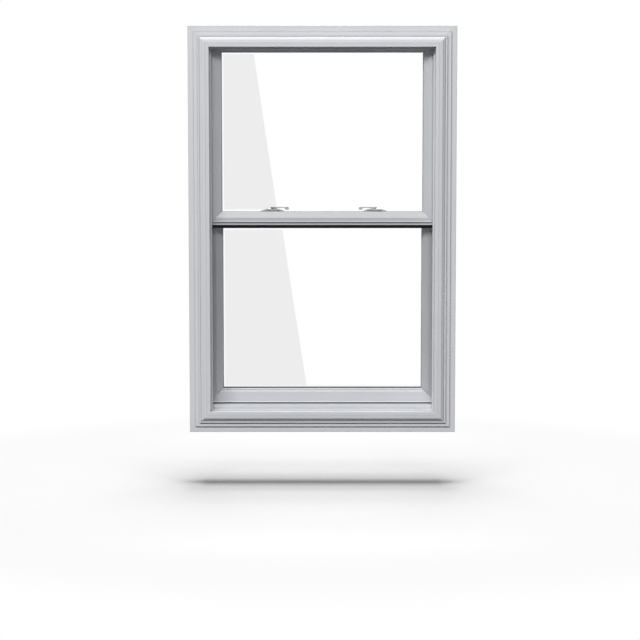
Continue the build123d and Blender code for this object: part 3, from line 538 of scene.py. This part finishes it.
class WINDOW_OT_add_screw_recesses(bpy.types.Operator):
    """Adds a dark cross of painted shade for the recess of each visible screw head"""
    bl_idname = "window.add_screw_recesses"
    bl_label = "Add Screw Recesses"

    def execute(self, context):
        reach = context.scene.window_detail.recess_reach
        # Painted shade: a dark cross stands on the screw head in place of its punched recess, whose walls
        # show nearly black because hardly any light comes back out.
        shade = moulded_plastic("painted_shade_screw_recess", linear("#2E2E30"), 0.6, 1.5, mm(0.4))
        for node, body in (("lock_screws", "lower_sash"), ("keeper_screws", "upper_sash")):
            build = bmesh.new()
            for low, high in solid_boxes(node):
                middle = (low + high) / 2
                arm = min(reach, (high.x - low.x) * RECESS_SHARE)
                for long, thin in ((arm, arm * ARM_SHARE), (arm * ARM_SHARE, arm)):
                    foot = [build.verts.new((middle.x + x * long, middle.y + y * thin, high.z - RECESS_DEPTH))
                            for x, y in SQUARE]
                    top = [build.verts.new((vert.co.x, vert.co.y, high.z + RECESS_PROUD)) for vert in foot]
                    close_block(build, foot, top)
            mesh = finish_mesh(build, f"{node}_recesses")
            new_piece(f"{node}_recesses", mesh, shade, body)
        return {"FINISHED"}


class WINDOW_OT_add_glazing_tape(bpy.types.Operator):
    """Adds the dark foam tape round each pane, and the soft lip of the indoor beads"""
    bl_idname = "window.add_glazing_tape"
    bl_label = "Add Glazing Tape"

    def execute(self, context):
        finish, detail = context.scene.window_finish, context.scene.window_detail
        foam = soft_strip("acrylic_foam_tape", finish.tape, 0.85, mm(0.6))
        soft = soft_strip("soft_co_extruded_pvc", linear("#B8BABD"), 0.55, mm(0.8))
        for sash in SASHES:
            half, low, high, outer, inner = daylight(sash)
            foot = detail.tape_foot / detail.tape_reach if sash == "lower" else 1.0
            tape_front = outer - detail.tape_height
            tape_shoulder = outer - detail.tape_height * 0.5
            tape = ring_mesh(f"{sash}_glazing_tape", half, low, high, [
                (-TAPE_SUNK, tape_front), (detail.tape_reach * 0.6, tape_front),
                (detail.tape_reach, tape_shoulder), (detail.tape_reach, outer - GLASS_FILM),
                (-TAPE_SUNK, outer - GLASS_FILM)], foot)
            new_piece(f"{sash}_glazing_tape", tape, foam, f"{sash}_sash")
            # Behind the upper meeting rail the indoor beads end level with the check rail's top.
            bead_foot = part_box("lower_check_rail")[1].z if sash == "upper" else low
            lip = ring_mesh(f"{sash}_bead_lip", half, bead_foot, high, [
                (-TAPE_SUNK, inner + GLASS_FILM), (detail.lip_reach, inner + GLASS_FILM),
                (detail.lip_reach, inner + LIP_EDGE), (-TAPE_SUNK, inner + LIP_ROOT)])
            new_piece(f"{sash}_bead_lip", lip, soft, f"{sash}_sash")
        return {"FINISHED"}


class WINDOW_OT_add_pile(bpy.types.Operator):
    """Replaces the plain weather strips with rows of tufts, and adds a black fin of painted shade on the
    check rail
    """
    bl_idname = "window.add_pile"
    bl_label = "Add Weather Pile"

    def execute(self, context):
        finish, detail = context.scene.window_finish, context.scene.window_detail
        yarn = soft_strip("woven_polypropylene_pile", finish.pile, 0.95, mm(0.35))
        for sash in SASHES:
            build = bmesh.new()
            for low, high in solid_boxes(f"{sash}_pile_seals"):
                outward = 1 if low.x > 0 else -1
                root = low.x if outward > 0 else high.x
                tip = high.x if outward > 0 else low.x
                rows = int((high.z - low.z) / detail.pile_pitch)
                half_y = (high.y - low.y) / PILE_COLUMNS / 2
                half_z = (high.z - low.z) / rows / 2
                for row in range(rows):
                    z = low.z + (2 * row + 1) * half_z
                    for column in range(PILE_COLUMNS):
                        y = low.y + (2 * column + 1) * half_y
                        # Each tuft leans and ends a little differently, in a pattern that soon repeats.
                        lean = TUFT_LEAN * ((row * 7 + column * 5) % 5 - 2) / 2
                        short = TUFT_UNEVEN * ((row * 3 + column * 11) % 4) / 3
                        foot = [build.verts.new((root, y + a * half_y, z + b * half_z)) for a, b in SQUARE]
                        top = [build.verts.new((tip - outward * short, y + a * half_y * TUFT_TIP_Y + lean,
                                                z + b * half_z * TUFT_TIP_Z + lean)) for a, b in SQUARE]
                        close_block(build, foot, top)
            mesh = finish_mesh(build, f"{sash}_pile")
            pile = new_piece(f"{sash}_pile", mesh, yarn, f"{sash}_sash")
            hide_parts(f"{sash}_pile_seals")
        dark_strip = soft_strip("extruded_rubber_bulb", linear("#3A3A3C"), 0.7, mm(0.9))
        dress(dark_strip, "lower_bottom_seal")
        # The black fin is painted shade: it darkens the deep shade under the upper meeting rail.
        self.add_check_rail_shade_fin(soft_strip("black_fin_of_painted_shade", linear("#303133"), 0.8, mm(0.9)))
        return {"FINISHED"}

    def add_check_rail_shade_fin(self, dark_strip):
        """A thin black fin along the outdoor face of the check rail, just under the upper meeting rail:
        painted shade, a dark strip put where the meeting rail's deep shade falls.
        """
        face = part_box("lower_stile_left")[0].y
        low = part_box("lower_check_rail")[0].z + FIN_LOW_GAP
        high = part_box("upper_meeting_rail")[0].z - FIN_HIGH_GAP
        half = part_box("brickmould_right")[0].x + FIN_OVERLAP
        back, front = face + FIN_SUNK, face - FIN_PROUD
        section = [(back, low), (front + FIN_ROUND, low), (front, low + FIN_ROUND),
                   (front, high - FIN_ROUND), (front + FIN_ROUND, high), (back, high)]
        build = bmesh.new()
        left, right = ([build.verts.new((side * half, y, z)) for y, z in section] for side in (-1, 1))
        build.faces.new(left)
        build.faces.new(right)
        for index in range(len(section)):
            onward = (index + 1) % len(section)
            build.faces.new((left[index], left[onward], right[onward], right[index]))
        mesh = finish_mesh(build, "check_rail_shade_fin")
        new_piece("check_rail_shade_fin", mesh, dark_strip, "lower_sash")


def seen_ray(tree):
    """One for a ray from the camera, off a glossy surface or through glass, and zero for the rest."""
    path = add_node(tree, "ShaderNodeLightPath")
    seen = path.outputs["Is Camera Ray"]
    for kind in ("Is Glossy Ray", "Is Transmission Ray"):
        either = add_node(tree, "ShaderNodeMath", {0: seen, 1: path.outputs[kind]}, operation="MAXIMUM")
        seen = either.outputs["Value"]
    return seen


class WINDOW_OT_build_stage(bpy.types.Operator):
    """Adds the floor, the white room, the soft lamps, the dark flags and the camera"""
    bl_idname = "window.build_stage"
    bl_label = "Build Stage"

    def execute(self, context):
        stage = context.scene.window_stage
        scene = context.scene
        scene.view_settings.view_transform = "Standard"
        self.make_room(scene, stage)
        self.make_floor(scene, stage)
        self.make_lamps(stage)
        self.make_flags(scene, stage)
        self.make_camera(scene, stage)
        return {"FINISHED"}

    def make_room(self, scene, stage):
        world = bpy.data.worlds.new("white_room")
        world.use_nodes = True
        tree = world.node_tree
        tree.nodes.clear()
        room = add_node(tree, "ShaderNodeBackground", {"Color": (1.0, 1.0, 1.0, 1.0), "Strength": stage.fill})
        white = add_node(tree, "ShaderNodeBackground", {"Color": (1.0, 1.0, 1.0, 1.0), "Strength": 1.0})
        shown = add_node(tree, "ShaderNodeMixShader", {0: seen_ray(tree), 1: room.outputs["Background"],
                                                       2: white.outputs["Background"]})
        add_node(tree, "ShaderNodeOutputWorld", {"Surface": shown.outputs["Shader"]})
        scene.world = world

    def make_floor(self, scene, stage):
        material, tree = new_material("painted_studio_floor")
        paint = add_node(tree, "ShaderNodeBsdfDiffuse", {"Color": stage.floor_colour})
        shade = add_node(tree, "ShaderNodeBsdfDiffuse", {"Color": tone(stage.floor_colour, FLOOR_SHADE)})
        # Away from the window the floor shows as white as the room; near it, it keeps the window's shadow.
        place = add_node(tree, "ShaderNodeTexCoord").outputs["Object"]
        reach = add_node(tree, "ShaderNodeVectorMath", {0: place}, operation="LENGTH").outputs["Value"]
        far = add_node(tree, "ShaderNodeMapRange", {
            "Value": reach, "From Min": GLOW_START, "From Max": GLOW_END, "To Min": stage.floor_glow,
            "To Max": 1.0}, interpolation_type="SMOOTHSTEP").outputs["Result"]
        white = add_node(tree, "ShaderNodeEmission", {"Color": (1.0, 1.0, 1.0, 1.0), "Strength": 1.0})
        near = add_node(tree, "ShaderNodeMixShader", {0: far, 1: paint.outputs["BSDF"],
                                                      2: white.outputs["Emission"]})
        # It throws little light back up, so the undersides of the rails keep their deep shade.
        shown = add_node(tree, "ShaderNodeMixShader", {0: seen_ray(tree), 1: shade.outputs["BSDF"],
                                                       2: near.outputs["Shader"]})
        finish_material(tree, shown.outputs["Shader"])
        corners = [(x * FLOOR_REACH, y * FLOOR_REACH, -stage.floor_drop) for x, y in SQUARE]
        mesh = bpy.data.meshes.new("studio_floor")
        mesh.from_pydata(corners, [], [(0, 1, 2, 3)])
        mesh.materials.append(material)
        floor = bpy.data.objects.new("studio_floor", mesh)
        scene.collection.objects.link(floor)
        floor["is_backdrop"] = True

    def make_lamps(self, stage):
        """Soft lamps. The key is weaker on the faces that stand back in the frame, as in the photograph."""
        nodes, pieces = frame["nodes"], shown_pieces()
        upper_face = [nodes[name] for name in ("upper_stile_left", "upper_stile_right", "upper_meeting_rail")]
        lower_face = [nodes[name] for name in ("lower_stile_left", "lower_stile_right")]
        sill_face = [nodes[name] for name in ("lower_bottom_rail", "frame_sill")]
        rest = [entry for entry in pieces if entry not in upper_face + lower_face + sill_face]
        for name, share, lit in (("frame", 1.0, rest), ("upper", stage.upper_share, upper_face),
                                 ("lower", stage.lower_share, lower_face),
                                 ("sill", stage.sill_share, sill_face)):
            power = stage.key_power * share
            self.make_lamp(f"key_softbox_{name}", KEY_PLACE, STAGE_MIDDLE, KEY_SIDES, power, lit)
        self.make_lamp("top_softbox", TOP_PLACE, STAGE_MIDDLE, TOP_SIDES, stage.top_power, rest + sill_face)
        self.make_lamp("back_softbox", BACK_PLACE, STAGE_MIDDLE, BACK_SIDES, stage.back_power, pieces)
        # This one lights the floor alone, so the only shadow there is the soft one right under the window.
        floor = [bpy.data.objects["studio_floor"]]
        self.make_lamp("floor_softbox", FLOOR_LAMP_PLACE, FLOOR_MIDDLE, FLOOR_LAMP_SIDES, stage.floor_power,
                       floor)

    def make_lamp(self, name, place, target, sides, power, lit):
        """A rectangular soft lamp that lights only the given objects."""
        data = bpy.data.lights.new(name, "AREA")
        data.shape = "RECTANGLE"
        data.size, data.size_y = sides
        data.energy = power
        lamp = bpy.data.objects.new(name, data)
        lamp.location = place
        lamp.rotation_euler = (target - place).to_track_quat("-Z", "Y").to_euler()
        bpy.context.scene.collection.objects.link(lamp)
        receivers = bpy.data.collections.new(f"lit_by_{name}")
        for entry in lit:
            receivers.objects.link(entry)
        lamp.light_linking.receiver_collection = receivers

    def make_flags(self, scene, stage):
        """Two black flags in front of the window: each pane mirrors one, and its slanted edge shows there."""
        material, tree = new_material("black_felt_flag")
        felt = add_node(tree, "ShaderNodeBsdfDiffuse", {"Color": linear("#050505")})
        finish_material(tree, felt.outputs["BSDF"])
        eye_y, eye_z = -stage.view_distance, stage.view_height
        verts, faces = [], []
        for sash in SASHES:
            half, low, high, outer, _ = daylight(sash)
            at_foot, at_head = FLAG_SLANTS[sash]
            left, bottom, top = -half + FLAG_MARGIN, low + FLAG_MARGIN, high - FLAG_MARGIN
            corners = [(left, bottom), (at_foot, bottom), (at_head, top), (left, top)]
            # The pane mirrors the flag as if it stood behind the glass, so it grows with that distance.
            grow = 1 + (outer - FLAG_Y) / (outer - eye_y)
            first = len(verts)
            verts += [(x * grow, FLAG_Y, eye_z + (z - eye_z) * grow) for x, z in corners]
            faces.append(tuple(range(first, first + 4)))
        mesh = bpy.data.meshes.new("black_flags")
        mesh.from_pydata(verts, [], faces)
        mesh.materials.append(material)
        flags = bpy.data.objects.new("black_flags", mesh)
        scene.collection.objects.link(flags)
        for ray in ("camera", "diffuse", "transmission", "volume_scatter", "shadow"):
            setattr(flags, f"visible_{ray}", False)
        flags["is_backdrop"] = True

    def make_camera(self, scene, stage):
        data = bpy.data.cameras.new("photo_camera")
        data.lens = stage.view_lens
        data.sensor_width = SENSOR_WIDTH
        data.shift_x = stage.view_shift
        data.clip_end = VIEW_REACH
        camera = bpy.data.objects.new("photo_camera", data)
        camera.location = (0.0, -stage.view_distance, stage.view_height)
        camera.rotation_euler = (radians(90) - stage.view_pitch, 0.0, 0.0)
        scene.collection.objects.link(camera)
        scene.camera = camera


class WINDOW_PT_dressing(bpy.types.Panel):
    """Window dressing steps and their settings"""
    bl_label = "Window Dressing"
    bl_idname = "WINDOW_PT_dressing"
    bl_space_type = "VIEW_3D"
    bl_region_type = "UI"
    bl_category = "Window"

    def draw(self, context):
        layout = self.layout
        for group in (context.scene.window_finish, context.scene.window_detail, context.scene.window_stage):
            box = layout.box()
            for key in group.bl_rna.properties.keys():
                if key not in ("rna_type", "name"):
                    box.prop(group, key)
        for step in STEPS:
            layout.operator(step.bl_idname)


STEPS = (WINDOW_OT_finish_vinyl, WINDOW_OT_finish_glass, WINDOW_OT_finish_hardware,
         WINDOW_OT_add_screw_recesses, WINDOW_OT_add_glazing_tape, WINDOW_OT_add_pile, WINDOW_OT_build_stage)
CLASSES = (WindowFinishSettings, WindowDetailSettings, WindowStageSettings, *STEPS, WINDOW_PT_dressing)


def register():
    for entry in CLASSES:
        bpy.utils.register_class(entry)
    bpy.types.Scene.window_finish = bpy.props.PointerProperty(type=WindowFinishSettings)
    bpy.types.Scene.window_detail = bpy.props.PointerProperty(type=WindowDetailSettings)
    bpy.types.Scene.window_stage = bpy.props.PointerProperty(type=WindowStageSettings)


def unregister():
    del bpy.types.Scene.window_stage, bpy.types.Scene.window_detail, bpy.types.Scene.window_finish
    for entry in reversed(CLASSES):
        bpy.utils.unregister_class(entry)


def main():
    register()
    for step in STEPS:
        group, name = step.bl_idname.split(".")
        getattr(getattr(bpy.ops, group), name)()


if __name__ == "__main__":
    main()
